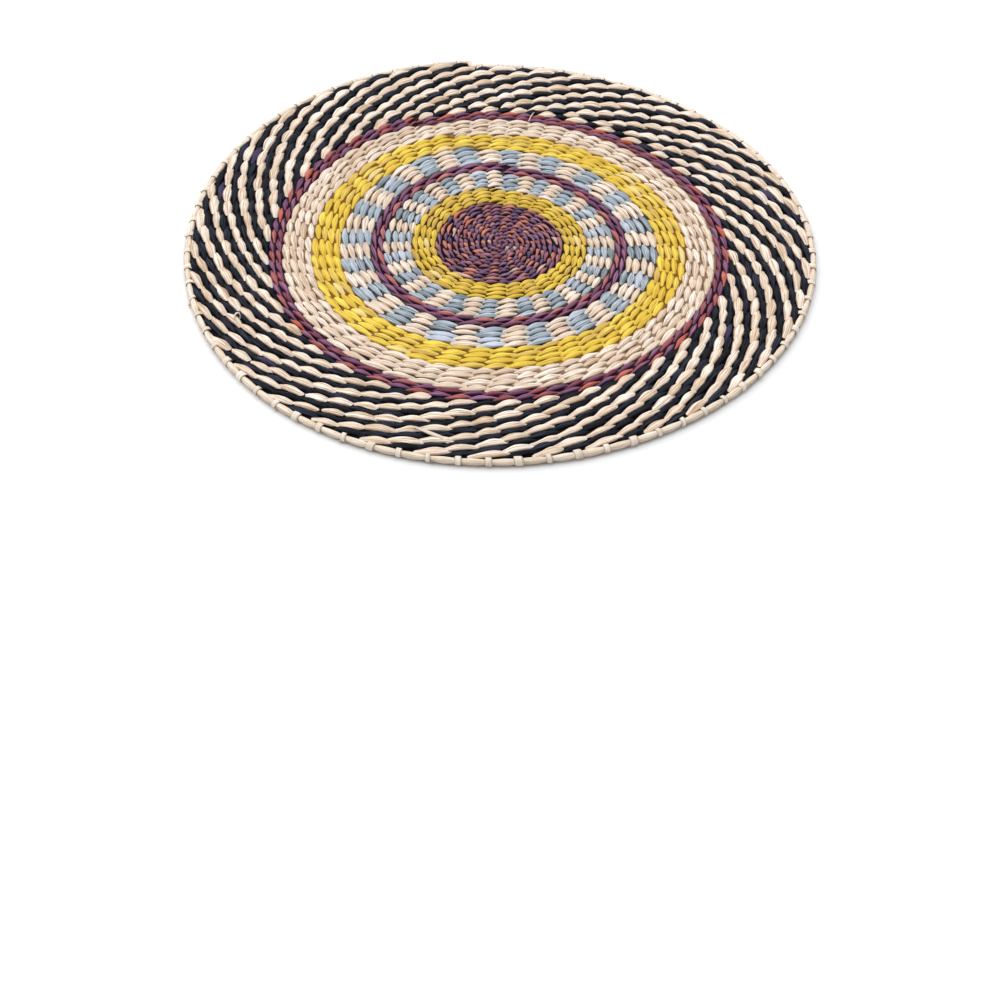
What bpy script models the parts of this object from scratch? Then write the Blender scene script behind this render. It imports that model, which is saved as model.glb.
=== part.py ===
"""A round seagrass placemat, twined by hand from the middle out.

Two strands at a time are twisted round straight spokes, in one row that winds outwards like a
spiral and changes colour from band to band. Past the last row one more strand is laid round the
edge, and each spoke end is turned over it and tucked in. The mat lies flat on its underside.
The origin is in the middle of the underside, X to the right and +Z up.
"""

import math
from collections import namedtuple

import bmesh
import bpy
import numpy as np

# The driving sizes, in metres
MAT_RADIUS = 0.190
CREST_HEIGHT = 0.0060
GROOVE_HEIGHT = 0.0044
EDGE_STRAND_WIDTH = 0.0034
EDGE_STRAND_HEIGHT = 0.0046
SPOKE_END_PROUD = 0.0007
SEAT_GAP = 0.0003

# How finely the forms are divided. The last row thins away over its last steps, and of the steps
# between two spoke ends the first carries the end that is turned over the edge strand.
STEPS_PER_TURN = 48
SPOKE_ENDS = 79
STEPS_PER_SPOKE_END = 3
TAPER_STEPS = 2
WELD_DISTANCE = 0.00001
SHARP_ANGLE = math.radians(50)

# The bands from the middle out. A band's rows are turns of the spiral, its reach is its mean outer
# radius as a share of the mat's, and its end is the angle at which the next colours are joined in.
Band = namedtuple("Band", "name rows reach end colour")
BANDS = (
    Band("purple middle", 12, 0.203, 95, "purple"),
    Band("inner yellow", 4, 0.278, 95, "yellow"),
    Band("inner check", 4, 0.367, 90, "blue grey"),
    Band("inner purple ring", 2, 0.407, 88, "purple"),
    Band("outer check", 4, 0.502, 100, "blue grey"),
    Band("outer yellow", 4, 0.591, 107, "yellow"),
    Band("plain straw", 4, 0.683, 115, "straw"),
    Band("outer purple ring", 2, 0.727, 115, "purple"),
    Band("swirl", 10, 0.981, 97, "navy"),
)
ROW_END_ANGLE = BANDS[-1].end

# How far the hand-made rows stray from true circles, as shares of the mat's radius: a lean to one
# side, an oval and three slow lobes, each at a radius that is a share of the mat's as well.
Stray = namedtuple("Stray", "radius lean_x lean_y oval lobes lobe_turn")
STRAYS = (
    Stray(0.00, 0.000, 0.000, 0.000, 0.0000, -60),
    Stray(0.28, -0.003, -0.002, 0.002, 0.0040, -60),
    Stray(0.50, -0.007, -0.005, 0.002, 0.0070, -40),
    Stray(0.70, -0.009, -0.018, 0.002, 0.0080, -22),
    Stray(1.00, -0.004, 0.001, 0.005, 0.0095, 8),
)
OVAL_TURN = 121

# The dyed strands' colours, as linear light, and their roughness
COLOURS = {
    "straw": ((0.72, 0.52, 0.34, 1.0), 0.62),
    "navy": ((0.016, 0.020, 0.035, 1.0), 0.48),
    "yellow": ((0.72, 0.50, 0.035, 1.0), 0.55),
    "blue grey": ((0.25, 0.33, 0.38, 1.0), 0.58),
    "purple": ((0.075, 0.025, 0.060, 1.0), 0.52),
}


def start_empty():
    """Removes what the scene holds, and makes the collection for the mat."""
    for thing in list(bpy.data.objects):
        bpy.data.objects.remove(thing, do_unlink=True)
    collection = bpy.data.collections.new("seagrass placemat")
    bpy.context.scene.collection.children.link(collection)
    return collection


def dyed(colour):
    """The material of strands in one colour."""
    shade, roughness = COLOURS[colour]
    material = bpy.data.materials.new(colour + " seagrass")
    material.use_nodes = True
    shader = material.node_tree.nodes["Principled BSDF"]
    shader.inputs["Base Color"].default_value = shade
    shader.inputs["Roughness"].default_value = roughness
    shader.inputs["Metallic"].default_value = 0.0
    material.diffuse_color = shade
    return material


def rows_in_all():
    return sum(band.rows for band in BANDS)


def band_ends():
    """The number of turns at which each band ends, shifted by where its colours change."""
    ends = np.cumsum([band.rows for band in BANDS]).astype(float)
    shifts = [(ROW_END_ANGLE - band.end) / 360 for band in BANDS]
    return ends + np.array(shifts)


def row_reach(turns):
    """How far out the spiral's outer edge is after so many turns, on a true spiral."""
    middles = band_ends() - 0.5
    reaches = np.array([band.reach for band in BANDS])
    slope = (reaches[-1] - reaches[-2]) / (middles[-1] - middles[-2])
    last = reaches[-1] + slope * (rows_in_all() - middles[-1])
    known_turns = np.concatenate([[0.0], middles, [rows_in_all()]])
    known_reaches = np.concatenate([[0.0], reaches, [last]])
    return MAT_RADIUS * np.interp(turns, known_turns, known_reaches)


def angle_after(turns):
    """The direction from the middle after so many turns. The rows wind clockwise, seen from above."""
    return math.radians(ROW_END_ANGLE) - 2 * math.pi * turns


def strayed(radius, angle):
    """The radius as the maker's hand left it."""
    share = radius / MAT_RADIUS
    known = [stray.radius for stray in STRAYS]
    lean_x = np.interp(share, known, [stray.lean_x for stray in STRAYS])
    lean_y = np.interp(share, known, [stray.lean_y for stray in STRAYS])
    oval = np.interp(share, known, [stray.oval for stray in STRAYS])
    lobes = np.interp(share, known, [stray.lobes for stray in STRAYS])
    lobe_turn = np.radians(np.interp(share, known, [stray.lobe_turn for stray in STRAYS]))
    stray = lean_x * np.cos(angle) + lean_y * np.sin(angle)
    stray = stray + oval * np.cos(2 * angle - math.radians(OVAL_TURN))
    stray = stray + lobes * np.cos(3 * angle - lobe_turn)
    return radius + MAT_RADIUS * stray


def on_the_mat(radius, angle, height):
    """Points at a radius, an angle and a height, as an array of x, y and z."""
    out = strayed(radius, angle)
    return np.stack([out * np.cos(angle), out * np.sin(angle), height], axis=-1)


def bent_grid(columns, rows, place, slot_of=None):
    """A grid of faces with its corners moved to place(column, row) and the seams that meet welded.

    slot_of gives a face's material slot from the column that it lies in.
    """
    form = bmesh.new()
    bmesh.ops.create_grid(form, x_segments=columns, y_segments=rows, size=0.5)
    if slot_of:
        for face in form.faces:
            face.material_index = slot_of((face.calc_center_median().x + 0.5) * columns)
    flat = np.array([corner.co[:] for corner in form.verts])
    column = np.rint((flat[:, 0] + 0.5) * columns).astype(int)
    row = np.rint((flat[:, 1] + 0.5) * rows).astype(int)
    for corner, point in zip(form.verts, place(column, row)):
        corner.co = point
    bmesh.ops.remove_doubles(form, verts=form.verts, dist=WELD_DISTANCE)
    return form


def finished(form, name, collection, colours):
    """The form as an object of the collection, with its faces pointing out."""
    bmesh.ops.recalc_face_normals(form, faces=form.faces)
    mesh = bpy.data.meshes.new(name)
    form.to_mesh(mesh)
    form.free()
    for colour in colours:
        mesh.materials.append(dyed(colour))
    mesh.shade_smooth()
    mesh.set_sharp_from_angle(angle=SHARP_ANGLE)
    collection.objects.link(bpy.data.objects.new(name, mesh))


def row_section(column, row):
    """Where the strip's corners go: the strip is one row wide, with a groove at each side."""
    turns = column / STEPS_PER_TURN
    inner = row_reach(np.maximum(turns - 1, 0))
    outer = row_reach(turns)
    left_to_go = rows_in_all() * STEPS_PER_TURN - column
    width = np.clip(left_to_go / TAPER_STEPS, 0, 1)
    outer = inner + (outer - inner) * width
    across = row / 2
    radius = inner + (outer - inner) * across
    height = np.where(row == 1, CREST_HEIGHT, GROOVE_HEIGHT)
    height = np.where((column == 0) | (left_to_go == 0), GROOVE_HEIGHT, height)
    return on_the_mat(radius, angle_after(turns), height)


def woven_mat(collection):
    """The twined body: a strip wound in a spiral, welded along its grooves, on a flat underside."""
    colours = sorted({band.colour for band in BANDS})
    ends = band_ends()

    def slot_of(column):
        band = int(np.searchsorted(ends, column / STEPS_PER_TURN))
        return colours.index(BANDS[min(band, len(BANDS) - 1)].colour)

    form = bent_grid(rows_in_all() * STEPS_PER_TURN, 2, row_section, slot_of)
    rim = [edge for edge in form.edges if edge.is_boundary]
    outline = closed_line(rim)
    wall = bmesh.ops.extrude_edge_only(form, edges=rim)["geom"]
    for corner in (part for part in wall if isinstance(part, bmesh.types.BMVert)):
        corner.co.z = 0.0
    foot = [part for part in wall if isinstance(part, bmesh.types.BMEdge) and part.is_boundary]
    bmesh.ops.edgeloop_fill(form, edges=foot)
    finished(form, "woven_mat", collection, colours)
    return outline


def closed_line(edges):
    """The corners of a closed line of edges, in order, as flat points."""
    left = set(edges)
    edge = edges[0]
    corner = edge.verts[0]
    line = []
    while edge:
        left.remove(edge)
        line.append((corner.co.x, corner.co.y))
        corner = edge.other_vert(corner)
        edge = next((other for other in corner.link_edges if other in left), None)
    return np.array(line)


def edge_radius(outline, angle):
    """How far the body's outline is from the middle, in each direction of an array."""
    angles = np.arctan2(outline[:, 1], outline[:, 0]) % (2 * math.pi)
    order = np.argsort(angles)
    start = outline[order]
    end = np.roll(start, -1, axis=0)
    after = np.searchsorted(angles[order], angle % (2 * math.pi)) - 1
    a = start[after]
    b = end[after]
    way = np.stack([np.cos(angle), np.sin(angle)], axis=-1)
    cross_sides = a[:, 0] * b[:, 1] - a[:, 1] * b[:, 0]
    cross_way = way[:, 0] * (b - a)[:, 1] - way[:, 1] * (b - a)[:, 0]
    return cross_sides / cross_way


# The edge strand's section, seen along the edge: how far out and how far up each corner is, as
# shares of its width and height. It is flat where it lies on the table.
SectionCorner = namedtuple("SectionCorner", "out up")
STRAND_SECTION = (
    SectionCorner(0.06, 0.00),
    SectionCorner(0.80, 0.00),
    SectionCorner(1.00, 0.40),
    SectionCorner(0.78, 1.00),
    SectionCorner(0.25, 1.00),
    SectionCorner(0.00, 0.62),
)


def edge_strand(collection, outline):
    """The strand laid round the edge, thicker where each spoke end is turned over it."""
    stations = SPOKE_ENDS * STEPS_PER_SPOKE_END
    corners_out = np.array([corner.out for corner in STRAND_SECTION])
    corners_up = np.array([corner.up for corner in STRAND_SECTION])

    def place(column, row):
        angle = 2 * math.pi * column / stations
        turned_over = column % STEPS_PER_SPOKE_END == 0
        proud = np.where(turned_over, SPOKE_END_PROUD, 0.0)
        side = row % len(STRAND_SECTION)
        inside = edge_radius(outline, angle) + SEAT_GAP
        out = inside + corners_out[side] * (EDGE_STRAND_WIDTH + proud)
        height = corners_up[side] * (EDGE_STRAND_HEIGHT + proud)
        return np.stack([out * np.cos(angle), out * np.sin(angle), height], axis=-1)

    form = bent_grid(stations, len(STRAND_SECTION), place)
    finished(form, "edge_strand", collection, ["straw"])


mat = start_empty()
weave_outline = woven_mat(mat)
edge_strand(mat, weave_outline)
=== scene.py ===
"""A round seagrass placemat, twined by hand from the middle out, as it looks on a pale floor.

The sections follow the making: the spokes are laid first, the bands are twined round them one
after another in dyed strands, and the spoke ends are turned over the edge at the last.
"""

import math

import bpy
import numpy as np
from mathutils import Matrix, Vector


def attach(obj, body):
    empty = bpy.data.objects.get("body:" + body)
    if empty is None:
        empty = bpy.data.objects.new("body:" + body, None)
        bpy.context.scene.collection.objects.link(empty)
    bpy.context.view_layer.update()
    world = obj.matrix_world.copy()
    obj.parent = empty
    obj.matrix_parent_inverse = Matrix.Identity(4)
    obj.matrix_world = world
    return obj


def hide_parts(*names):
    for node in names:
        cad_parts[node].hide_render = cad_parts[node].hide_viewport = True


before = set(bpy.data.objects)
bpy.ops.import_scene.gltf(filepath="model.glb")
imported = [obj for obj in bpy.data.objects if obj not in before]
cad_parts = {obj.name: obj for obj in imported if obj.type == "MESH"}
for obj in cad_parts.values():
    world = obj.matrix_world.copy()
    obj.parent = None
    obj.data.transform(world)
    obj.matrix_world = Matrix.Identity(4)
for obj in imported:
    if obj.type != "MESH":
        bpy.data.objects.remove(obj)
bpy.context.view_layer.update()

# The camera looks down on the mat from in front, through a long lens, so that the mat fills the
# upper half of the picture and bare floor is below it.
LENS = 85.15
SENSOR_WIDTH = 36.0
LOOKS_AT = Vector((0.00302, -0.22079, 0.0052))
DISTANCE = 1.2686
LOOKS_DOWN = math.radians(44.80)
LEANS_OVER = math.radians(1.397)

camera_data = bpy.data.cameras.new("camera")
camera_data.lens = LENS
camera_data.sensor_width = SENSOR_WIDTH
camera_data.clip_start = 0.05
camera_data.clip_end = 30.0
camera = bpy.data.objects.new("camera", camera_data)
stands_at = LOOKS_AT + DISTANCE * Vector((0.0, -math.cos(LOOKS_DOWN), math.sin(LOOKS_DOWN)))
tilt = Matrix.Rotation(math.pi / 2 - LOOKS_DOWN, 4, "X") @ Matrix.Rotation(LEANS_OVER, 4, "Z")
camera.matrix_world = Matrix.Translation(stands_at) @ tilt
bpy.context.scene.collection.objects.link(camera)
bpy.context.scene.camera = camera

# The floor is a plain white sheet. A broad soft light comes from behind the mat and a little to
# the left, and white walls all round fill the shadows.
FLOOR_SIDE = 8.0
FLOOR_BELOW = 0.0002
FLOOR_GREY = 0.79
FLOOR_ROUGHNESS = 0.9
FLOOR_SPECULAR = 0.1
KEY_FROM = (-0.30, 0.36, 1.0)
KEY_SPREAD = math.radians(90)
KEY_STRENGTH = 2.9
WALL_COLOUR = (0.93, 0.97, 1.0, 1.0)
WALL_STRENGTH = 0.56

bpy.context.scene.view_settings.view_transform = "Standard"
world = bpy.data.worlds.new("white walls")
world.use_nodes = True
world.node_tree.nodes["Background"].inputs["Color"].default_value = WALL_COLOUR
world.node_tree.nodes["Background"].inputs["Strength"].default_value = WALL_STRENGTH
bpy.context.scene.world = world

key_data = bpy.data.lights.new("window light", "SUN")
key_data.energy = KEY_STRENGTH
key_data.angle = KEY_SPREAD
key = bpy.data.objects.new("window light", key_data)
key.rotation_euler = Vector(KEY_FROM).to_track_quat("Z", "Y").to_euler()
bpy.context.scene.collection.objects.link(key)

floor_white = bpy.data.materials.new("white floor")
floor_white.use_nodes = True
floor_shader = floor_white.node_tree.nodes["Principled BSDF"]
floor_shader.inputs["Base Color"].default_value = (FLOOR_GREY, FLOOR_GREY, FLOOR_GREY, 1.0)
floor_shader.inputs["Roughness"].default_value = FLOOR_ROUGHNESS
floor_shader.inputs["Specular IOR Level"].default_value = FLOOR_SPECULAR
half = FLOOR_SIDE / 2
floor_mesh = bpy.data.meshes.new("floor")
floor_corners = [(-half, -half), (half, -half), (half, half), (-half, half)]
floor_mesh.from_pydata([(x, y, -FLOOR_BELOW) for x, y in floor_corners], [], [(0, 1, 2, 3)])
floor_mesh.materials.append(floor_white)
floor = bpy.data.objects.new("floor", floor_mesh)
bpy.context.scene.collection.objects.link(floor)

# The spokes are straight stalks of seagrass laid out from the middle like the spokes of a wheel,
# with more put in as the mat grows, and the weave is packed tight round them. Inside the weave
# they are one thin ribbed disc, seen only in the gaps, coloured dark with painted shade.
MAT_RADIUS = 0.190
BAND_ROWS = (12, 4, 4, 2, 4, 4, 4, 2, 10)
BAND_REACH = (0.203, 0.278, 0.367, 0.407, 0.502, 0.591, 0.683, 0.727, 0.981)
BAND_END_ANGLE = (95, 95, 90, 88, 100, 107, 115, 115, 97)
BAND_SPOKES = (19, 29, 40, 40, 40, 50, 60, 79, 79)
MIDDLE, INNER_YELLOW, INNER_CHECK, INNER_RING, OUTER_CHECK = range(5)
OUTER_YELLOW, PLAIN_STRAW, OUTER_RING, SWIRL = range(5, 9)
STRAY_AT = (0.00, 0.28, 0.50, 0.70, 1.00)
LEAN_X = (0.000, -0.003, -0.007, -0.009, -0.004)
LEAN_Y = (0.000, -0.002, -0.005, -0.018, 0.001)
OVAL = (0.000, 0.002, 0.002, 0.002, 0.005)
OVAL_TURN = math.radians(121)
LOBES = (0.0000, 0.0040, 0.0070, 0.0080, 0.0095)
LOBE_TURN = (-60, -60, -40, -22, 8)
MID_HEIGHT = 0.0031
GROUND_HALF_THICKNESS = 0.0004
GROUND_REACH = 0.985
SPOKE_RIDGE = 0.0006
RIDGES_FADE_WITHIN = 0.02
GROUND_RINGS = 46
GROUND_COLUMNS = 4 * BAND_SPOKES[-1]


def band_ends():
    """The number of turns of the row at which each band ends."""
    shifts = (BAND_END_ANGLE[-1] - np.array(BAND_END_ANGLE)) / 360
    return np.cumsum(BAND_ROWS) + shifts


def row_reach(turns):
    """How far from the middle the row's outer edge is after so many turns."""
    middles = band_ends() - 0.5
    reaches = np.array(BAND_REACH)
    slope = (reaches[-1] - reaches[-2]) / (middles[-1] - middles[-2])
    rows_in_all = sum(BAND_ROWS)
    last = reaches[-1] + slope * (rows_in_all - middles[-1])
    known_turns = np.concatenate([[0.0], middles, [rows_in_all]])
    known_reaches = np.concatenate([[0.0], reaches, [last]])
    return MAT_RADIUS * np.interp(turns, known_turns, known_reaches)


def angle_after(turns):
    """The direction from the middle after so many turns, clockwise as seen from above."""
    return math.radians(BAND_END_ANGLE[-1]) - 2 * math.pi * np.asarray(turns)


def strayed(radius, angle):
    """The radius as the maker's hand left it."""
    share = radius / MAT_RADIUS
    lean_x = np.interp(share, STRAY_AT, LEAN_X)
    lean_y = np.interp(share, STRAY_AT, LEAN_Y)
    oval = np.interp(share, STRAY_AT, OVAL)
    lobes = np.interp(share, STRAY_AT, LOBES)
    lobe_turn = np.radians(np.interp(share, STRAY_AT, LOBE_TURN))
    stray = lean_x * np.cos(angle) + lean_y * np.sin(angle)
    stray = stray + oval * np.cos(2 * angle - OVAL_TURN)
    stray = stray + lobes * np.cos(3 * angle - lobe_turn)
    return radius + MAT_RADIUS * stray


def linear(red, green, blue):
    """A colour given as a screen shows it, 0 to 255, as linear light."""
    screen = np.array([red, green, blue]) / 255
    light = np.where(screen > 0.04045, ((screen + 0.055) / 1.055) ** 2.4, screen / 12.92)
    return (*[float(part) for part in light], 1.0)


def material_named(name):
    """A new material, its nodes and its shader."""
    material = bpy.data.materials.new(name)
    material.use_nodes = True
    return material, material.node_tree, material.node_tree.nodes["Principled BSDF"]


def node(tree, kind, **settings):
    """A new node of that kind with its settings."""
    made = tree.nodes.new(kind)
    for name, value in settings.items():
        setattr(made, name, value)
    return made


def ground_ring(ring, side):
    """The corners of one ring of the disc, on its upper or its lower face."""
    angles = np.linspace(0, 2 * math.pi, GROUND_COLUMNS, endpoint=False)
    radii = strayed(np.full(GROUND_COLUMNS, ring), angles)
    band = int(np.searchsorted(row_reach(band_ends()), ring))
    spokes = BAND_SPOKES[min(band, SWIRL)]
    ridge = SPOKE_RIDGE * np.clip(np.cos(spokes * angles), 0, 1) * min(1.0, ring / RIDGES_FADE_WITHIN)
    heights = MID_HEIGHT + side * (GROUND_HALF_THICKNESS + ridge)
    return np.stack([radii * np.cos(angles), radii * np.sin(angles), heights], axis=-1)


def spokes_ground():
    """The ribbed disc: two sheets of a polar grid, joined at the rim."""
    rings = GROUND_REACH * MAT_RADIUS * np.linspace(0, 1, GROUND_RINGS + 1)[1:]
    middles = [[[0.0, 0.0, MID_HEIGHT + side * GROUND_HALF_THICKNESS]] for side in (1, -1)]
    sheets = [ground_ring(ring, side) for side in (1, -1) for ring in rings]
    points = np.concatenate(middles + sheets)
    faces = []
    for side in (0, 1):
        base = 2 + side * GROUND_RINGS * GROUND_COLUMNS
        for column in range(GROUND_COLUMNS):
            following = (column + 1) % GROUND_COLUMNS
            corner = (side, base + column, base + following)
            faces.append(corner if side == 0 else corner[::-1])
            for ring in range(GROUND_RINGS - 1):
                here = base + ring * GROUND_COLUMNS
                there = here + GROUND_COLUMNS
                quad = (here + column, there + column, there + following, here + following)
                faces.append(quad if side == 0 else quad[::-1])
    top_rim = 2 + (GROUND_RINGS - 1) * GROUND_COLUMNS
    low_rim = top_rim + GROUND_RINGS * GROUND_COLUMNS
    for column in range(GROUND_COLUMNS):
        following = (column + 1) % GROUND_COLUMNS
        faces.append((top_rim + following, top_rim + column, low_rim + column, low_rim + following))
    mesh = bpy.data.meshes.new("spokes_ground")
    mesh.from_pydata(points.tolist(), [], faces)
    mesh.shade_smooth()
    return mesh


# Stalks and strands packed inside the weave have the dye of the band that they lie under, darkened
# with painted shade for the little light that gets to them: one colour a band, a little mottled.
GROUND_DYE_AND_PAINTED_SHADE = (
    (24, 12, 20), (76, 50, 18), (82, 75, 70), (44, 22, 34), (82, 75, 72),
    (146, 103, 36), (160, 131, 102), (52, 26, 38), (6, 7, 11),
)
STALK_ROUGHNESS = 0.8
STALK_SPECULAR = 0.1
MOTTLE_SCALE = 900.0
MOTTLE_DETAIL = 3.0
MOTTLE_SHARE = 0.8

packed_stalks_painted_shade, tree, shader = material_named("packed stalks with painted shade")
shader.inputs["Roughness"].default_value = STALK_ROUGHNESS
shader.inputs["Specular IOR Level"].default_value = STALK_SPECULAR
where = node(tree, "ShaderNodeTexCoord")
from_middle = node(tree, "ShaderNodeVectorMath", operation="LENGTH")
share_out = node(tree, "ShaderNodeMath", operation="DIVIDE")
share_out.inputs[1].default_value = MAT_RADIUS
# Each band's dye darkened with painted shade, in steps from the middle out.
band_dye_and_painted_shade = node(tree, "ShaderNodeValToRGB")
band_dye_and_painted_shade.color_ramp.interpolation = "CONSTANT"
band_dye_and_painted_shade.color_ramp.elements[1].position = BAND_REACH[0]
for number in range(2, len(GROUND_DYE_AND_PAINTED_SHADE)):
    band_dye_and_painted_shade.color_ramp.elements.new(BAND_REACH[number - 1])
for element, shade in zip(band_dye_and_painted_shade.color_ramp.elements, GROUND_DYE_AND_PAINTED_SHADE):
    element.color = linear(*shade)
mottle = node(tree, "ShaderNodeTexNoise")
mottle.inputs["Scale"].default_value = MOTTLE_SCALE
mottle.inputs["Detail"].default_value = MOTTLE_DETAIL
darker = node(tree, "ShaderNodeMix", data_type="RGBA", blend_type="MULTIPLY")
darker.inputs["Factor"].default_value = MOTTLE_SHARE
tree.links.new(where.outputs["Object"], from_middle.inputs[0])
tree.links.new(from_middle.outputs["Value"], share_out.inputs[0])
tree.links.new(share_out.outputs[0], band_dye_and_painted_shade.inputs["Fac"])
tree.links.new(where.outputs["Object"], mottle.inputs["Vector"])
tree.links.new(band_dye_and_painted_shade.outputs["Color"], darker.inputs["A"])
tree.links.new(mottle.outputs["Fac"], darker.inputs["B"])
tree.links.new(darker.outputs["Result"], shader.inputs["Base Color"])

ground = bpy.data.objects.new("spokes_ground", spokes_ground())
bpy.context.scene.collection.objects.link(ground)
ground.data.materials.append(packed_stalks_painted_shade)
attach(ground, "root")
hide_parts("woven_mat")

# The middle is twined in thin strands, one purple and one rust, round nine spokes at first, with
# more put in twice. Every strand of the mat is made as these are: its centre line is worked out,
# passing over and under the spokes, and a flattened round section is drawn along it.
SAMPLES_PER_CROSSING = 8
SECTION_SIDES = 8
CROSSING_RISE = 0.00155
CREST_WIDTH = 0.48
LATE_TURN = 0.20
LEAN_VARIES = 0.25
HEIGHT_VARIES = 0.00014
WIDTH_VARIES = 0.16
THICKNESS_VARIES = 0.10
THICKER_AT_WAIST = 0.00010
END_WIDTH = 0.25
END_WIDENS = 1.5
SPARE_STITCHES = 6
SEEDS_PER_TURN = 100
SWAY_AT = (0.37, 0.41, 0.50, 0.70, 0.73, 0.79, 0.86, 0.92)
SWAY_SHIFT = (-0.09, 0.91, 0.91, 0.23, -0.64, -0.50, -0.27, -0.11)
SWAY_LEAN = (0.00, 0.00, 0.00, 0.18, 0.72, 0.79, 0.90, 0.90)
SWAY_LOBES = 0.11
MIDDLE_STARTS = (0.55, 2.5, 5.0)
MIDDLE_SPOKES = (9, 18, 28)
MIDDLE_STRANDS = {
    "width": 0.84, "waist": 0.22, "thick": 0.00092, "rise": 0.0014,
    "bow": 0.26, "uneven": 0.15, "wander": 0.35,
}


def spoke_sway(radius, angle):
    """How far a spoke is from its place in an even wheel, in gaps between spokes."""
    share = radius / MAT_RADIUS
    shift = np.interp(share, SWAY_AT, SWAY_SHIFT)
    lean = np.interp(share, SWAY_AT, SWAY_LEAN)
    lobes = SWAY_LOBES * (lean * np.cos(2 * angle) - np.cos(3 * angle))
    return shift + lean * np.cos(angle) + lobes


def smooth_random(position, count, random):
    """Values from -1 to 1 that change smoothly from one whole position to the next."""
    values = random.uniform(-1, 1, count + 4)
    at = np.clip(position + 1, 0, count + 2)
    whole = np.floor(at).astype(int)
    part = (1 - np.cos(math.pi * (at - whole))) / 2
    return values[whole] * (1 - part) + values[whole + 1] * part


def with_frame(points, sideways, half_width, half_thick, tone):
    """A strand's centre line with the directions and the lengths that its section needs."""
    tangent = np.gradient(points, axis=0)
    tangent /= np.linalg.norm(tangent, axis=1, keepdims=True)
    across = sideways - tangent * np.sum(sideways * tangent, axis=1, keepdims=True)
    across /= np.linalg.norm(across, axis=1, keepdims=True)
    steps = np.linalg.norm(np.diff(points, axis=0), axis=1)
    return {
        "points": points,
        "across": across,
        "lift": np.cross(tangent, across),
        "half_width": half_width,
        "half_thick": half_thick,
        "along": np.concatenate([[0.0], np.cumsum(steps)]),
        "tone": tone,
    }


def twined_strand(
    start, end, spokes, side, seed,
    width=1.0, waist=0.23, thick=0.00118, rise=CROSSING_RISE, bow=0.22, uneven=0.05, wander=0.15,
):
    """One of the two strands of a row, from one number of turns to another.

    The strands have sides 0 and 1, and change over at each spoke. Width, waist, bow and uneven are
    shares of the row's width, thick and rise are in metres, and wander is in gaps between spokes.
    """
    random = np.random.default_rng(seed)
    shared = np.random.default_rng(int(start * SEEDS_PER_TURN))
    crossings = (end - start) * spokes
    count = int(round(crossings * SAMPLES_PER_CROSSING)) + 1
    turns = np.linspace(start, end, count)
    angle = angle_after(turns)
    inner = strayed(row_reach(np.maximum(turns - 1, 0)), angle)
    outer = strayed(row_reach(turns), angle)
    pitch = outer - inner
    middle = (inner + outer) / 2
    passed = (turns - start) * spokes
    wandered = wander * smooth_random(passed, int(crossings) + 2, shared)
    passed = passed + spoke_sway(middle, angle) + wandered
    wave = math.pi * (passed + side)
    stitches = int(crossings / 2) + SPARE_STITCHES
    stitch = (passed + side) / 2 + 1
    leaning = 1 + LEAN_VARIES * smooth_random(stitch, stitches, random)
    swing = np.sin(wave) - LATE_TURN * np.sin(2 * wave)
    radial = bow * leaning * swing + uneven * smooth_random(stitch, stitches, random)
    radius = middle + pitch * radial
    height = MID_HEIGHT + rise * np.cos(wave)
    height = height + HEIGHT_VARIES * smooth_random(stitch * 2, stitches * 2, random)
    points = np.stack([radius * np.cos(angle), radius * np.sin(angle), height], axis=-1)
    widest = 1 + WIDTH_VARIES * smooth_random(stitch, stitches, random)
    half_width = pitch * width * widest * (waist + (CREST_WIDTH - waist) * np.cos(wave) ** 2)
    half_thick = thick * (1 + THICKNESS_VARIES * smooth_random(stitch, stitches, random))
    half_thick = half_thick + THICKER_AT_WAIST * np.sin(wave) ** 2
    to_end = np.minimum(np.arange(count), np.arange(count)[::-1]) / SAMPLES_PER_CROSSING
    narrowing = np.clip(END_WIDTH + END_WIDENS * to_end, 0, 1)
    out = np.stack([np.cos(angle), np.sin(angle), np.zeros(count)], axis=-1)
    tones = random.uniform(0, 1, stitches + 2)
    tone = tones[np.clip(np.rint(stitch).astype(int), 0, stitches + 1)]
    return with_frame(points, out, half_width * narrowing, half_thick * narrowing, tone)


def strand_lines(name, strands):
    """The centre lines of several strands, as one mesh of edges with the section's attributes."""
    mesh = bpy.data.meshes.new(name)
    points = np.concatenate([strand["points"] for strand in strands])
    edges = []
    base = 0
    for strand in strands:
        count = len(strand["points"])
        edges.extend((base + step, base + step + 1) for step in range(count - 1))
        base += count
    mesh.from_pydata(points.tolist(), edges, [])
    for label in ("half_width", "half_thick", "along", "tone"):
        values = np.concatenate([strand[label] for strand in strands])
        mesh.attributes.new(label, "FLOAT", "POINT").data.foreach_set("value", values)
    for label in ("across", "lift"):
        values = np.concatenate([strand[label] for strand in strands])
        mesh.attributes.new(label, "FLOAT_VECTOR", "POINT").data.foreach_set("vector", values.ravel())
    return mesh


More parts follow.
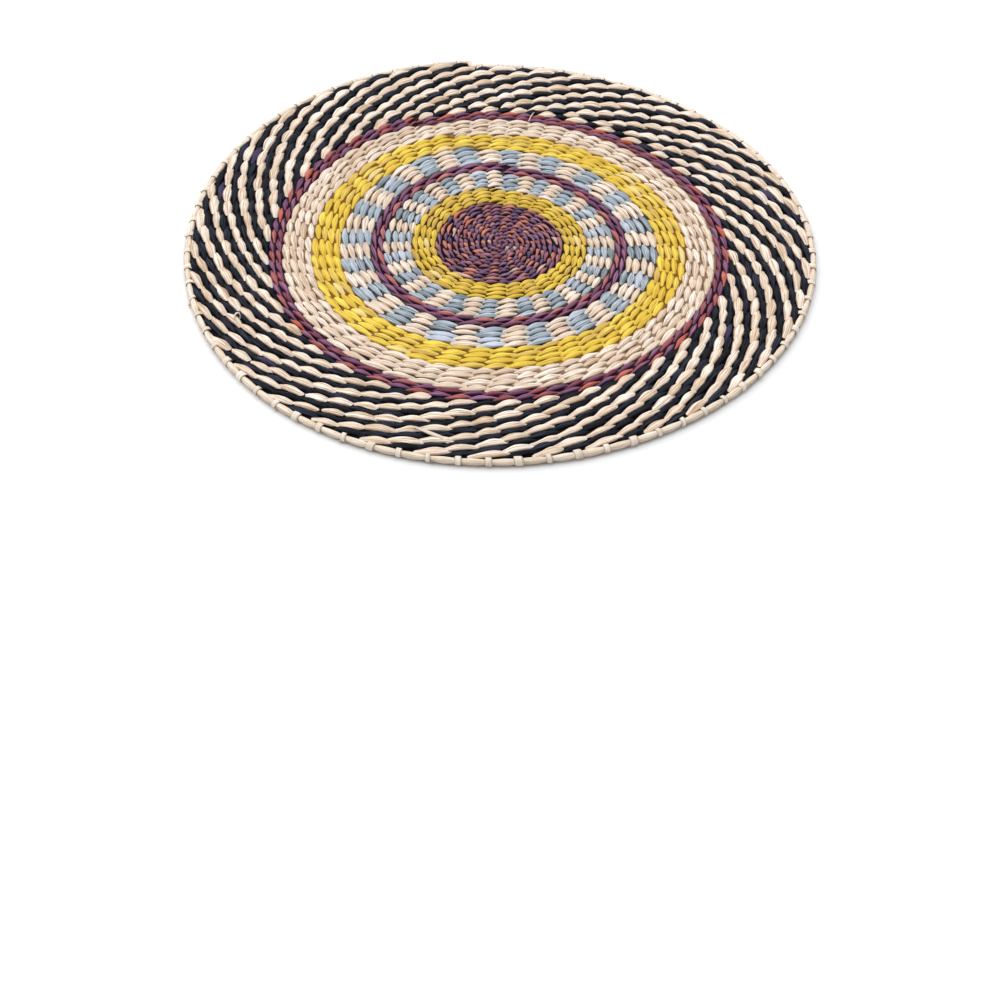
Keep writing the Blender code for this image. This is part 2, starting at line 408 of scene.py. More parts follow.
def strand_sweep():
    """The Geometry Nodes tree that draws the strands' section along their centre lines."""
    tree = bpy.data.node_groups.new("strand section drawn along lines", "GeometryNodeTree")
    tree.interface.new_socket("Lines", in_out="INPUT", socket_type="NodeSocketGeometry")
    sides = tree.interface.new_socket("Sides", in_out="INPUT", socket_type="NodeSocketInt")
    sides.default_value = SECTION_SIDES
    tree.interface.new_socket("Material", in_out="INPUT", socket_type="NodeSocketMaterial")
    tree.interface.new_socket("Strands", in_out="OUTPUT", socket_type="NodeSocketGeometry")
    link = tree.links.new

    def attribute(name, kind="FLOAT"):
        made = node(tree, "GeometryNodeInputNamedAttribute", data_type=kind)
        made.inputs["Name"].default_value = name
        return made.outputs["Attribute"]

    given = node(tree, "NodeGroupInput")
    curve = node(tree, "GeometryNodeMeshToCurve")
    link(given.outputs["Lines"], curve.inputs["Mesh"])
    place = node(tree, "GeometryNodeCaptureAttribute")
    place.capture_items.new("VECTOR", "Place")
    position = node(tree, "GeometryNodeInputPosition")
    link(curve.outputs["Curve"], place.inputs["Geometry"])
    link(position.outputs["Position"], place.inputs["Place"])
    circle = node(tree, "GeometryNodeCurvePrimitiveCircle")
    link(given.outputs["Sides"], circle.inputs["Resolution"])
    corner = node(tree, "GeometryNodeCaptureAttribute")
    corner.capture_items.new("FLOAT", "Corner")
    parameter = node(tree, "GeometryNodeSplineParameter")
    link(circle.outputs["Curve"], corner.inputs["Geometry"])
    link(parameter.outputs["Factor"], corner.inputs["Corner"])
    swept = node(tree, "GeometryNodeCurveToMesh")
    swept.inputs["Fill Caps"].default_value = True
    link(place.outputs["Geometry"], swept.inputs["Curve"])
    link(corner.outputs["Geometry"], swept.inputs["Profile Curve"])
    turn = node(tree, "ShaderNodeMath", operation="MULTIPLY")
    turn.inputs[1].default_value = 2 * math.pi
    link(corner.outputs["Corner"], turn.inputs[0])
    moved = place.outputs["Place"]
    parts = []
    ways = (("COSINE", "half_width", "across"), ("SINE", "half_thick", "lift"))
    for operation, size, direction in ways:
        part = node(tree, "ShaderNodeMath", operation=operation)
        link(turn.outputs[0], part.inputs[0])
        parts.append(part)
        reach = node(tree, "ShaderNodeMath", operation="MULTIPLY")
        link(part.outputs[0], reach.inputs[0])
        link(attribute(size), reach.inputs[1])
        step = node(tree, "ShaderNodeVectorMath", operation="SCALE")
        link(attribute(direction, "FLOAT_VECTOR"), step.inputs[0])
        link(reach.outputs[0], step.inputs["Scale"])
        added = node(tree, "ShaderNodeVectorMath", operation="ADD")
        link(moved, added.inputs[0])
        link(step.outputs[0], added.inputs[1])
        moved = added.outputs[0]
    placed = node(tree, "GeometryNodeSetPosition")
    link(swept.outputs["Mesh"], placed.inputs["Geometry"])
    link(moved, placed.inputs["Position"])
    joined = node(tree, "ShaderNodeCombineXYZ")
    link(attribute("along"), joined.inputs["X"])
    link(parts[0].outputs[0], joined.inputs["Y"])
    link(parts[1].outputs[0], joined.inputs["Z"])
    stored = node(tree, "GeometryNodeStoreNamedAttribute", data_type="FLOAT_VECTOR", domain="POINT")
    stored.inputs["Name"].default_value = "round"
    link(placed.outputs["Geometry"], stored.inputs["Geometry"])
    link(joined.outputs["Vector"], stored.inputs["Value"])
    smooth = node(tree, "GeometryNodeSetShadeSmooth")
    link(stored.outputs["Geometry"], smooth.inputs["Geometry"])
    real = node(tree, "GeometryNodeRealizeInstances")
    link(smooth.outputs["Geometry"], real.inputs["Geometry"])
    coloured = node(tree, "GeometryNodeSetMaterial")
    link(real.outputs["Geometry"], coloured.inputs["Geometry"])
    link(given.outputs["Material"], coloured.inputs["Material"])
    result = node(tree, "NodeGroupOutput")
    link(coloured.outputs["Geometry"], result.inputs["Strands"])
    return tree


SWEEP = strand_sweep()


def swept_piece(name, strands, material, slot="twined_seagrass", stands_for="woven_mat"):
    """The strands as one finished piece that rides on the mat."""
    lines = bpy.data.objects.new(name + " lines", strand_lines(name + " lines", strands))
    bpy.context.scene.collection.objects.link(lines)
    modifier = lines.modifiers.new("section", "NODES")
    modifier.node_group = SWEEP
    inputs = [item for item in SWEEP.interface.items_tree if item.in_out == "INPUT"]
    sockets = {item.name: item.identifier for item in inputs}
    modifier[sockets["Sides"]] = SECTION_SIDES
    modifier[sockets["Material"]] = material
    made = lines.evaluated_get(bpy.context.evaluated_depsgraph_get())
    mesh = bpy.data.meshes.new_from_object(made)
    mesh.name = name
    lines.modifiers.remove(modifier)
    bpy.data.objects.remove(lines)
    piece = bpy.data.objects.new(name, mesh)
    bpy.context.scene.collection.objects.link(piece)
    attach(piece, "root")
    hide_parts(stands_for)
    return piece


# A dry grass strand has long pale fibres, darker creases and dark sides, and no two stitches are
# quite the same tone. The pale streaks are partly painted highlight, and the dark sides are partly
# painted shade. The dye takes to some of them more than to others.
FIBRE_STRETCH = (60.0, 4.4, 4.4)
FIBRE_DETAIL = 4.0
FIBRE_SHIFT = 31.0
THREAD_STRETCH = (110.0, 11.0, 11.0)
THREAD_DETAIL = 2.0
THREAD_SHIFT = 57.0
SHIFT_ACROSS = 1.7
NOISE_ROUGHNESS = 0.6
PALE_FIBRES_AND_HIGHLIGHT = (0.45, 0.59)
DEEP_FIBRES = (0.48, 0.33)
CREASED_THREADS = (0.40, 0.30)
DARK_AND_SHADED_SIDES = (0.66, 1.0)
ODD_LOTS = 23.7
RARE_LOTS = 61.3
PALE_LOTS = 7.31
LEAST_PALENESS = 0.45
GRASS_ROUGHNESS = (0.42, 0.68)
FIBRE_RIDGES = 0.6
THREAD_RIDGES = 0.4
BUMP_STRENGTH = 0.9
BUMP_DEPTH = 0.0007


def grass_effect():
    """The shader group that gives every strand its long fibres, and each stitch its own tone."""
    tree = bpy.data.node_groups.new("grass strand", "ShaderNodeTree")
    for label in ("Body", "Pale", "Deep", "Odd", "Rare"):
        tree.interface.new_socket(label, in_out="INPUT", socket_type="NodeSocketColor")
    # Sides is how far a strand's sides take the deep colour: partly darker edges, partly painted shade.
    for label in ("Pale share", "Deep share", "Odd share", "Rare share", "Sides"):
        tree.interface.new_socket(label, in_out="INPUT", socket_type="NodeSocketFloat")
    tree.interface.new_socket("Color", in_out="OUTPUT", socket_type="NodeSocketColor")
    tree.interface.new_socket("Roughness", in_out="OUTPUT", socket_type="NodeSocketFloat")
    tree.interface.new_socket("Height", in_out="OUTPUT", socket_type="NodeSocketFloat")
    link = tree.links.new
    given = node(tree, "NodeGroupInput")
    round_at = node(tree, "ShaderNodeAttribute", attribute_name="round")
    tone = node(tree, "ShaderNodeAttribute", attribute_name="tone")

    def worked_out(operation, first, second=None, clamp=False):
        made = node(tree, "ShaderNodeMath", operation=operation, use_clamp=clamp)
        for index, value in enumerate((first, second)):
            if isinstance(value, (int, float)):
                made.inputs[index].default_value = value
            elif value is not None:
                link(value, made.inputs[index])
        return made.outputs[0]

    def stretched_noise(stretch, detail, shift):
        moved = node(tree, "ShaderNodeVectorMath", operation="MULTIPLY_ADD")
        link(round_at.outputs["Vector"], moved.inputs[0])
        moved.inputs[1].default_value = stretch
        start = node(tree, "ShaderNodeCombineXYZ")
        link(worked_out("MULTIPLY", tone.outputs["Fac"], shift), start.inputs["X"])
        link(worked_out("MULTIPLY", tone.outputs["Fac"], shift * SHIFT_ACROSS), start.inputs["Y"])
        link(start.outputs["Vector"], moved.inputs[2])
        noise = node(tree, "ShaderNodeTexNoise")
        noise.inputs["Scale"].default_value = 1.0
        noise.inputs["Detail"].default_value = detail
        noise.inputs["Roughness"].default_value = NOISE_ROUGHNESS
        link(moved.outputs["Vector"], noise.inputs["Vector"])
        return noise.outputs["Fac"]

    def ramp(value, low, high):
        made = node(tree, "ShaderNodeMapRange", interpolation_type="SMOOTHSTEP")
        made.inputs["From Min"].default_value = low
        made.inputs["From Max"].default_value = high
        link(value, made.inputs["Value"])
        return made.outputs["Result"]

    def mixed(amount, first, second):
        made = node(tree, "ShaderNodeMix", data_type="RGBA")
        link(amount, made.inputs["Factor"])
        link(first, made.inputs["A"])
        link(second, made.inputs["B"])
        return made.outputs["Result"]

    def drawn_lot(times):
        return worked_out("FRACT", worked_out("MULTIPLY", tone.outputs["Fac"], times))

    fibres = stretched_noise(FIBRE_STRETCH, FIBRE_DETAIL, FIBRE_SHIFT)
    threads = stretched_noise(THREAD_STRETCH, THREAD_DETAIL, THREAD_SHIFT)
    odd = worked_out("LESS_THAN", drawn_lot(ODD_LOTS), given.outputs["Odd share"])
    colour = mixed(odd, given.outputs["Body"], given.outputs["Odd"])
    rare = worked_out("LESS_THAN", drawn_lot(RARE_LOTS), given.outputs["Rare share"])
    colour = mixed(rare, colour, given.outputs["Rare"])
    # Pale streaks: partly the grass's own pale fibres, partly painted highlight.
    paleness_and_highlight = worked_out("MULTIPLY", ramp(fibres, *PALE_FIBRES_AND_HIGHLIGHT), given.outputs["Pale share"])
    own = worked_out("ADD", drawn_lot(PALE_LOTS), LEAST_PALENESS)
    paleness_and_highlight = worked_out("MULTIPLY", paleness_and_highlight, own, clamp=True)
    colour = mixed(paleness_and_highlight, colour, given.outputs["Pale"])
    for creases in (ramp(fibres, *DEEP_FIBRES), ramp(threads, *CREASED_THREADS)):
        depth = worked_out("MULTIPLY", creases, given.outputs["Deep share"], clamp=True)
        colour = mixed(depth, colour, given.outputs["Deep"])
    # The sides darken towards the deep colour: partly the grass's own darker edges, partly painted shade
    # where a strand tucks against its neighbours.
    separate = node(tree, "ShaderNodeSeparateXYZ")
    link(round_at.outputs["Vector"], separate.inputs["Vector"])
    side = worked_out("ABSOLUTE", separate.outputs["Y"])
    side_colour_and_shade = worked_out("MULTIPLY", ramp(side, *DARK_AND_SHADED_SIDES), given.outputs["Sides"], clamp=True)
    colour = mixed(side_colour_and_shade, colour, given.outputs["Deep"])
    rough = node(tree, "ShaderNodeMapRange")
    rough.inputs["To Min"].default_value = GRASS_ROUGHNESS[0]
    rough.inputs["To Max"].default_value = GRASS_ROUGHNESS[1]
    link(threads, rough.inputs["Value"])
    low_ridges = worked_out("MULTIPLY", fibres, FIBRE_RIDGES)
    fine_ridges = worked_out("MULTIPLY", threads, THREAD_RIDGES)
    result = node(tree, "NodeGroupOutput")
    link(colour, result.inputs["Color"])
    link(rough.outputs["Result"], result.inputs["Roughness"])
    link(worked_out("ADD", low_ridges, fine_ridges), result.inputs["Height"])
    return tree


GRASS = grass_effect()


def dyed_grass(name, colours, shares, gloss=0.3):
    """The material of strands in one dye. Colours that aren't given are the body's."""
    material, tree, shader = material_named(name)
    grass = node(tree, "ShaderNodeGroup")
    grass.node_tree = GRASS
    for label in ("Body", "Pale", "Deep", "Odd", "Rare"):
        grass.inputs[label].default_value = linear(*colours.get(label, colours["Body"]))
    for label in ("Pale share", "Deep share", "Odd share", "Rare share", "Sides"):
        grass.inputs[label].default_value = shares.get(label, 0.0)
    bump = node(tree, "ShaderNodeBump")
    bump.inputs["Strength"].default_value = BUMP_STRENGTH
    bump.inputs["Distance"].default_value = BUMP_DEPTH
    tree.links.new(grass.outputs["Color"], shader.inputs["Base Color"])
    tree.links.new(grass.outputs["Roughness"], shader.inputs["Roughness"])
    tree.links.new(grass.outputs["Height"], bump.inputs["Height"])
    tree.links.new(bump.outputs["Normal"], shader.inputs["Normal"])
    shader.inputs["Specular IOR Level"].default_value = gloss
    return material


middle_purple = dyed_grass(
    "thin purple grass",
    {"Body": (108, 66, 102), "Pale": (176, 136, 164), "Deep": (36, 18, 40),
     "Odd": (76, 52, 98), "Rare": (160, 94, 100)},
    {"Pale share": 0.65, "Deep share": 0.7, "Odd share": 0.4, "Rare share": 0.18, "Sides": 0.8},
)
middle_rust = dyed_grass(
    "thin rust and plum grass",
    {"Body": (144, 82, 98), "Pale": (214, 156, 150), "Deep": (54, 24, 34),
     "Odd": (208, 116, 86), "Rare": (222, 190, 166)},
    {"Pale share": 0.65, "Deep share": 0.7, "Odd share": 0.28, "Rare share": 0.03, "Sides": 0.8},
)
ends = band_ends()
middle_spans = list(zip(MIDDLE_STARTS, (*MIDDLE_STARTS[1:], float(ends[MIDDLE])), MIDDLE_SPOKES))
for side, dye, name in ((0, middle_purple, "middle_purple"), (1, middle_rust, "middle_rust")):
    strands = [twined_strand(*span, side, seed=10 + side, **MIDDLE_STRANDS) for span in middle_spans]
    swept_piece(name, strands, dye)


# The first wide band is four rows in yellow grass, both strands alike. It goes on from the middle
# over twenty-nine spokes, and its rows are beaten down close.
CLOSE_STRANDS = {
    "width": 1.11, "waist": 0.29, "thick": 0.00100, "rise": 0.00140, "bow": 0.22, "uneven": 0.08,
}


def band_strand(band, side, seed, **sizes):
    """One strand of a whole band."""
    return twined_strand(float(ends[band - 1]), float(ends[band]), BAND_SPOKES[band], side, seed, **sizes)


yellow = dyed_grass(
    "yellow grass",
    {"Body": (214, 175, 50), "Pale": (252, 222, 94), "Deep": (116, 76, 24),
     "Odd": (200, 160, 74), "Rare": (226, 200, 148)},
    {"Pale share": 0.7, "Deep share": 0.6, "Odd share": 0.3, "Rare share": 0.03, "Sides": 0.6},
)
strands = [band_strand(INNER_YELLOW, side, seed=21 + side, **CLOSE_STRANDS) for side in (0, 1)]
swept_piece("inner_yellow_strands", strands, yellow)

# The inner check is four rows over forty spokes, with one strand in undyed straw and one in blue
# grey. As the spokes are even in number, each colour comes up over the same spokes in every row.
straw = dyed_grass(
    "undyed straw",
    {"Body": (218, 194, 168), "Pale": (254, 243, 232), "Deep": (168, 112, 68),
     "Odd": (204, 178, 148), "Rare": (222, 202, 180)},
    {"Pale share": 0.9, "Deep share": 0.8, "Odd share": 0.2, "Rare share": 0.12, "Sides": 0.6},
)
blue = dyed_grass(
    "blue grey grass",
    {"Body": (148, 160, 170), "Pale": (214, 220, 232), "Deep": (80, 90, 98),
     "Odd": (116, 130, 136), "Rare": (188, 194, 208)},
    {"Pale share": 0.7, "Deep share": 0.7, "Odd share": 0.35, "Rare share": 0.05, "Sides": 0.5},
)
strands = [band_strand(INNER_CHECK, 0, seed=23, **CLOSE_STRANDS)]
swept_piece("inner_check_straw", strands, straw)
strands = [band_strand(INNER_CHECK, 1, seed=24, **CLOSE_STRANDS)]
swept_piece("inner_check_blue", strands, blue)

# The inner ring is two rows of thin strands in deep purple, one of them rust pink, set loosely, so
# that the bare spokes show between them.
LOOSE_STRANDS = {"width": 0.86, "bow": 0.26}
BARE_SPOKE_HALF = 0.0006
BARE_SPOKE_HEIGHT = 0.0031
BARE_SPOKE_STEPS = 6
BARE_SPOKE_SHARE = 0.6
BARE_SPOKE_PLACES = (0.2, 0.8)
BARE_SPOKE_WIDTHS = (0.7, 1.2)
BARE_SPOKE_FLATNESS = 0.5


def row_strand(band, row, side, seed, **sizes):
    """One strand of a single row of a band."""
    start = float(ends[band - 1]) + row
    stop = float(ends[band]) if row == BAND_ROWS[band] - 1 else start + 1
    return twined_strand(start, stop, BAND_SPOKES[band], side, seed, **sizes)


def bare_spokes(band, seed):
    """The stretch of each spoke that shows through a band."""
    random = np.random.default_rng(seed)
    reaches = np.linspace(BAND_REACH[band - 1], BAND_REACH[band], BARE_SPOKE_STEPS) * MAT_RADIUS
    strands = []
    for number in range(BAND_SPOKES[band]):
        if random.uniform(0, 1) > BARE_SPOKE_SHARE:
            continue
        turned = 2 * math.pi * (number + random.uniform(*BARE_SPOKE_PLACES)) / BAND_SPOKES[band]
        way = np.array([math.cos(turned), math.sin(turned), 0.0])
        aside = np.array([-way[1], way[0], 0.0])
        points = strayed(reaches, turned)[:, None] * way
        points[:, 2] = BARE_SPOKE_HEIGHT
        half = np.full(BARE_SPOKE_STEPS, BARE_SPOKE_HALF * random.uniform(*BARE_SPOKE_WIDTHS))
        tone = np.full(BARE_SPOKE_STEPS, random.uniform(0, 1))
        sideways = aside[None].repeat(BARE_SPOKE_STEPS, 0)
        strands.append(with_frame(points, sideways, half, half * BARE_SPOKE_FLATNESS, tone))
    return strands


deep_purple = dyed_grass(
    "deep purple grass",
    {"Body": (110, 58, 94), "Pale": (182, 132, 170), "Deep": (28, 11, 32), "Odd": (120, 56, 80)},
    {"Pale share": 0.6, "Deep share": 0.6, "Odd share": 0.3, "Sides": 0.7},
)
pink = dyed_grass(
    "rust pink grass",
    {"Body": (178, 94, 96), "Pale": (220, 152, 144), "Deep": (96, 40, 44)},
    {"Pale share": 0.6, "Deep share": 0.6, "Sides": 0.5},
)
strands = [row_strand(INNER_RING, 0, 0, seed=25, **LOOSE_STRANDS)]
strands += [row_strand(INNER_RING, 1, side, seed=26 + side, **LOOSE_STRANDS) for side in (0, 1)]
swept_piece("inner_ring_purple", strands, deep_purple)
strands = [row_strand(INNER_RING, 0, 1, seed=28, **LOOSE_STRANDS)]
swept_piece("inner_ring_pink", strands, pink)
swept_piece("inner_ring_bare_spokes", bare_spokes(INNER_RING, seed=3), straw)

# The outer check is made like the inner one, of the same straw and blue grey grass, on the same
# forty spokes. It is four close rows, twined on from the ring.
strands = [band_strand(OUTER_CHECK, 0, seed=29, **CLOSE_STRANDS)]
swept_piece("outer_check_straw", strands, straw)
strands = [band_strand(OUTER_CHECK, 1, seed=30, **CLOSE_STRANDS)]
swept_piece("outer_check_blue", strands, blue)

# The outer yellow band is four close rows like the inner one, over fifty spokes, in grass that took
# up a lighter dye.
light_yellow = dyed_grass(
    "light yellow grass",
    {"Body": (221, 182, 50), "Pale": (252, 226, 96), "Deep": (154, 104, 32),
     "Odd": (208, 170, 80), "Rare": (228, 202, 150)},
    {"Pale share": 0.8, "Deep share": 0.6, "Odd share": 0.25, "Rare share": 0.035, "Sides": 0.4},
)
strands = [band_strand(OUTER_YELLOW, side, seed=31 + side, **CLOSE_STRANDS) for side in (0, 1)]
swept_piece("outer_yellow_strands", strands, light_yellow)

# The plain band is four close rows of undyed straw, both strands alike, over sixty spokes. It is the
# quiet ground between the yellow and the outer ring.
strands = [band_strand(PLAIN_STRAW, side, seed=33 + side, **CLOSE_STRANDS) for side in (0, 1)]
swept_piece("plain_straw_strands", strands, straw)

# The outer ring is two loose rows of thin strands like the inner ring: purple with wine red in the
# first row, and purple with a red that turns orange in places in the second.
wine = dyed_grass(
    "wine red grass",
    {"Body": (124, 50, 72), "Pale": (180, 106, 120), "Deep": (44, 13, 28), "Odd": (160, 78, 82)},
    {"Pale share": 0.6, "Deep share": 0.6, "Odd share": 0.3, "Sides": 0.6},
)
orange = dyed_grass(
    "red and orange grass",
    {"Body": (154, 70, 74), "Pale": (214, 134, 124), "Deep": (72, 24, 30), "Odd": (194, 88, 60)},
    {"Pale share": 0.6, "Deep share": 0.6, "Odd share": 0.4, "Sides": 0.5},
)
strands = [row_strand(OUTER_RING, 0, 0, seed=35, **LOOSE_STRANDS)]
strands += [row_strand(OUTER_RING, 1, 1, seed=36, **LOOSE_STRANDS)]
swept_piece("outer_ring_purple", strands, deep_purple)
strands = [row_strand(OUTER_RING, 0, 1, seed=37, **LOOSE_STRANDS)]
swept_piece("outer_ring_wine", strands, wine)
strands = [row_strand(OUTER_RING, 1, 0, seed=38, **LOOSE_STRANDS)]
swept_piece("outer_ring_orange", strands, orange)
swept_piece("outer_ring_bare_spokes", bare_spokes(OUTER_RING, seed=4), straw)

# The swirl is ten rows of one straw strand and one navy strand. Its spokes are odd in number, so
# each row's stitches are one spoke on from the last row's, and the colours turn into slanting
# stripes.
SWIRL_STRAW = {"width": 1.30, "waist": 0.32, "thick": 0.00106, "bow": 0.37, "uneven": 0.09}
SWIRL_NAVY = {"width": 1.00, "waist": 0.25, "thick": 0.00100, "bow": 0.37, "uneven": 0.09}
# The navy's pale streaks are mostly painted highlight, standing in for its sheen along the crests.
navy = dyed_grass(
    "navy grass",
    {"Body": (5, 6, 10), "Pale": (60, 67, 87), "Deep": (1, 1, 2),
     "Odd": (18, 14, 26), "Rare": (68, 58, 90)},
    {"Pale share": 0.55, "Deep share": 0.8, "Odd share": 0.15, "Rare share": 0.010, "Sides": 1.0},
    gloss=0.10,
)
swept_piece("swirl_straw", [band_strand(SWIRL, 0, seed=39, **SWIRL_STRAW)], straw)
swept_piece("swirl_navy", [band_strand(SWIRL, 1, seed=40, **SWIRL_NAVY)], navy)

# At the edge one more strand of pale straw is laid round the mat. Each spoke end is turned over it,
# pinches it, and is tucked in below, where some of the tips stick out.
EDGE_GAP = 0.0001
EDGE_HALF_WIDTH = 0.0019
EDGE_HALF_THICKNESS = 0.0020
EDGE_HEIGHT = 0.0027
EDGE_STEPS_PER_SPOKE = 8
EDGE_PLUMPNESS_VARIES = 0.10
EDGE_LIFTED_AT_SPOKE = 0.0002
EDGE_FULL_WIDTH = 1.08
EDGE_PINCHED_BY = 0.30
EDGE_FLATTENED_BY = 0.18
EDGE_SEED = 77
ALONG_A_TURN = 4000
TURNED_END_HALF = 0.0023
TURNED_END_WIDTHS = (0.60, 1.15)
TURNED_END_FLATNESS = 0.16
TURNED_END_SLANT = 0.0010
TURNED_END_STEPS = 17
TURNED_END_ROUTE = (
    (-0.0018, 0.0030), (-0.0005, 0.0043), (0.0014, 0.0050), (0.0032, 0.0043), (0.0040, 0.0029),
    (0.0035, 0.0012), (0.0014, 0.0006), (-0.0006, 0.0006),
)
TIP_SHARE = 0.45
TIP_HALF = 0.0008
TIP_WIDTHS = (0.7, 1.3)
TIP_PROFILE = (1.0, 1.0, 1.05, 1.0, 0.85, 0.45)
TIP_FLATNESS = 0.6
TIP_LENGTHS = (0.0020, 0.0036)
TIP_STARTS_OUT = 0.0022
TIP_HEIGHT = 0.0010
TIP_RISES = (0.0004, 0.0022)
TIP_ASIDE = 0.016
TIP_YAW = 0.7


def last_turn():
    """The last turn in fine steps: the angles, and how far the last row reaches there."""
    rows_in_all = sum(BAND_ROWS)
    turns = np.linspace(rows_in_all - 1, rows_in_all, ALONG_A_TURN + 1)
    angle = angle_after(turns)
    return turns, angle, strayed(row_reach(turns), angle)


def edge_spokes():
    """The angle of each spoke at the edge, where the last row goes over it."""
    turns, angle, reach = last_turn()
    passed = (turns - float(ends[SWIRL - 1])) * BAND_SPOKES[SWIRL] + spoke_sway(reach, angle)
    whole = np.arange(math.ceil(passed[0]), math.ceil(passed[0]) + BAND_SPOKES[SWIRL])
    return np.interp(whole, passed, angle)


def edge_reach(angle):
    """How far the last row reaches in one direction."""
    turns, angles, reach = last_turn()
    after_start = (angles[0] - angle) % (2 * math.pi)
    return float(np.interp(after_start, angles[0] - angles, reach))


def edge_lines(spokes, random):
    """The strand laid round the edge, pinched where a spoke end goes over it."""
    steps = EDGE_STEPS_PER_SPOKE
    closed = np.append(spokes, spokes[0] - 2 * math.pi)
    angle = np.interp(np.arange(len(spokes) * steps + 1) / steps, np.arange(len(closed)), closed)
    radius = np.array([edge_reach(turned) for turned in angle]) + EDGE_GAP + EDGE_HALF_WIDTH
    at_spoke = 0.5 + 0.5 * np.cos(2 * math.pi * np.arange(len(angle)) / steps)
    own_plumpness = smooth_random(np.arange(len(angle)) / steps, len(closed), random)
    plump = 1 + EDGE_PLUMPNESS_VARIES * own_plumpness
    height = EDGE_HEIGHT + EDGE_LIFTED_AT_SPOKE * at_spoke
    points = np.stack([radius * np.cos(angle), radius * np.sin(angle), height], axis=-1)
    out = np.stack([np.cos(angle), np.sin(angle), np.zeros(len(angle))], axis=-1)
    half_width = EDGE_HALF_WIDTH * (EDGE_FULL_WIDTH - EDGE_PINCHED_BY * at_spoke) * plump
    half_thick = EDGE_HALF_THICKNESS * (1 - EDGE_FLATTENED_BY * at_spoke) * plump
    own = random.uniform(0, 1, len(closed) + 1)
    return with_frame(points, out, half_width, half_thick, own[np.arange(len(angle)) // steps])


def turned_over_end(angle, random):
    """One spoke end: out of the weave, over the edge strand, down, and back in below."""
    out = np.array([math.cos(angle), math.sin(angle), 0.0])
    aside = np.array([math.sin(angle), -math.cos(angle), 0.0])
    knots = np.array(TURNED_END_ROUTE)
    steps = np.linspace(0, len(knots) - 1, TURNED_END_STEPS)
    outwards = np.interp(steps, range(len(knots)), knots[:, 0])
    height = np.interp(steps, range(len(knots)), knots[:, 1])
    points = (edge_reach(angle) + outwards)[:, None] * out
    points[:, 2] = height
    slant = random.uniform(-TURNED_END_SLANT, TURNED_END_SLANT) * np.linspace(-1, 1, len(points))
    points = points + slant[:, None] * aside
    half = np.full(len(points), TURNED_END_HALF * random.uniform(*TURNED_END_WIDTHS))
    tone = np.full(len(points), random.uniform(0, 1))
    sideways = aside[None].repeat(len(points), 0)
    return with_frame(points, sideways, half, half * TURNED_END_FLATNESS, tone)


def spoke_tip(angle, random):
    """The tip of a spoke end that sticks out from under the edge."""
    turned = angle + random.uniform(-TIP_ASIDE, TIP_ASIDE)
    out = np.array([math.cos(turned), math.sin(turned), 0.0])
    yaw = random.uniform(-TIP_YAW, TIP_YAW)
    aside = np.array([-out[1], out[0], 0.0])
    way = math.cos(yaw) * out + math.sin(yaw) * aside
    length = random.uniform(*TIP_LENGTHS)
    steps = np.linspace(0, 1, len(TIP_PROFILE))
    points = (edge_reach(angle) + TIP_STARTS_OUT) * out + steps[:, None] * length * way
    points[:, 2] = TIP_HEIGHT + random.uniform(*TIP_RISES) * steps
    half = TIP_HALF * random.uniform(*TIP_WIDTHS) * np.array(TIP_PROFILE)
    tone = np.full(len(steps), random.uniform(0, 1))
    return with_frame(points, aside[None].repeat(len(steps), 0), half, half * TIP_FLATNESS, tone)


edge_straw = dyed_grass(
    "edge straw",
    {"Body": (228, 208, 184), "Pale": (250, 240, 228), "Deep": (172, 128, 88)},
    {"Pale share": 0.8, "Deep share": 0.5, "Sides": 0.3},
)
turned_straw = dyed_grass(
    "pale spoke end straw",
    {"Body": (228, 210, 190), "Pale": (248, 238, 226), "Deep": (170, 130, 96)},
    {"Pale share": 0.8, "Deep share": 0.4, "Sides": 0.35},
)
# The tips are a darker straw than the edge strand and the turned ends.
tip_straw = dyed_grass(
    "darker tip straw",
    {"Body": (206, 176, 138), "Pale": (236, 216, 190), "Deep": (130, 92, 58)},
    {"Pale share": 0.6, "Deep share": 0.6, "Sides": 0.4},
)
random = np.random.default_rng(EDGE_SEED)
spokes_at = edge_spokes()
on_the_edge = {"slot": "edge_seagrass", "stands_for": "edge_strand"}
swept_piece("edge_strand_laid_round", [edge_lines(spokes_at, random)], edge_straw, **on_the_edge)
turned = [turned_over_end(angle, random) for angle in spokes_at]
swept_piece("spoke_ends_turned_over", turned, turned_straw, **on_the_edge)
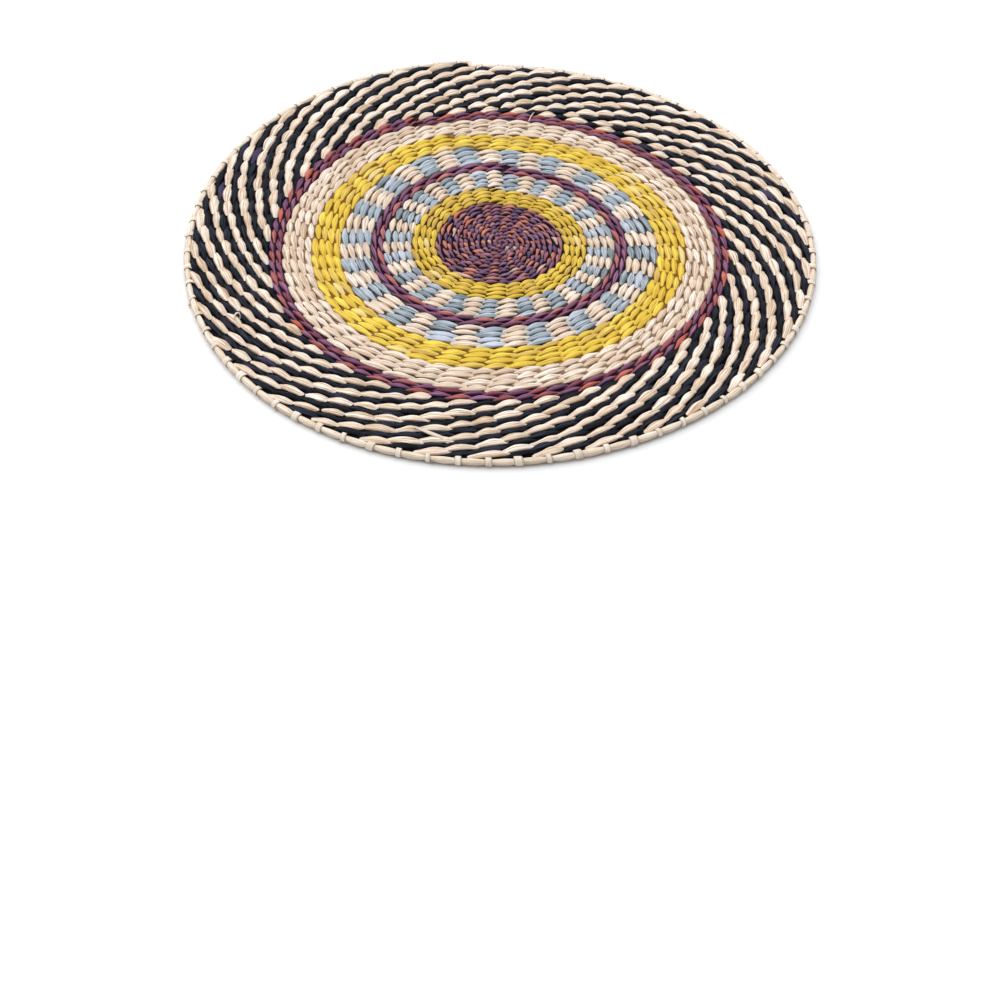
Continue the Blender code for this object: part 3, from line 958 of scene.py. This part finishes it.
tips = [spoke_tip(angle, random) for angle in spokes_at if random.uniform(0, 1) < TIP_SHARE]
swept_piece("spoke_tips", tips, tip_straw, **on_the_edge)

# A few ends of strands stand out of the weave where a new strand was joined in: a stub that lies
# across two rows in front, a small curl at the left and a thin wisp at the back.
LOOSE_END_STEPS = 16
LOOSE_END_FULL = 1.3
LOOSE_END_THINS_BY = 1.1


def loose_end(route, half_width, half_thick, tone):
    """A short length of strand along a few points."""
    knots = np.array(route)
    steps = np.linspace(0, len(knots) - 1, LOOSE_END_STEPS)
    along = [np.interp(steps, range(len(knots)), knots[:, axis]) for axis in range(3)]
    points = np.stack(along, axis=-1)
    points[1:-1] = (points[:-2] + 2 * points[1:-1] + points[2:]) / 4
    chord = points[-1] - points[0]
    sideways = np.cross(chord, (0.0, 0.0, 1.0))
    sideways = sideways / np.linalg.norm(sideways)
    thinner = LOOSE_END_THINS_BY * np.linspace(0, 1, LOOSE_END_STEPS) ** 3
    thinning = np.clip(LOOSE_END_FULL - thinner, 0, 1)
    sizes = (half_width * thinning, half_thick * thinning, np.full(LOOSE_END_STEPS, tone))
    return with_frame(points, sideways[None].repeat(LOOSE_END_STEPS, 0), *sizes)


stub = loose_end(
    ((-0.0258, -0.1752, 0.0030), (-0.0300, -0.1733, 0.0054), (-0.0380, -0.1697, 0.0060),
     (-0.0462, -0.1660, 0.0066)),
    half_width=0.0014, half_thick=0.0006, tone=0.3,
)
curl = loose_end(
    ((-0.1528, -0.0790, 0.0040), (-0.1535, -0.0768, 0.0064), (-0.1526, -0.0742, 0.0072),
     (-0.1508, -0.0738, 0.0070), (-0.1500, -0.0756, 0.0058), (-0.1507, -0.0784, 0.0042)),
    half_width=0.0007, half_thick=0.0003, tone=0.6,
)
wisp = loose_end(
    ((0.0155, 0.1245, 0.0044), (0.0166, 0.1275, 0.0058), (0.0178, 0.1300, 0.0062),
     (0.0190, 0.1330, 0.0056)),
    half_width=0.0004, half_thick=0.00025, tone=0.8,
)
swept_piece("loose_strand_ends", [stub, curl, wisp], turned_straw)
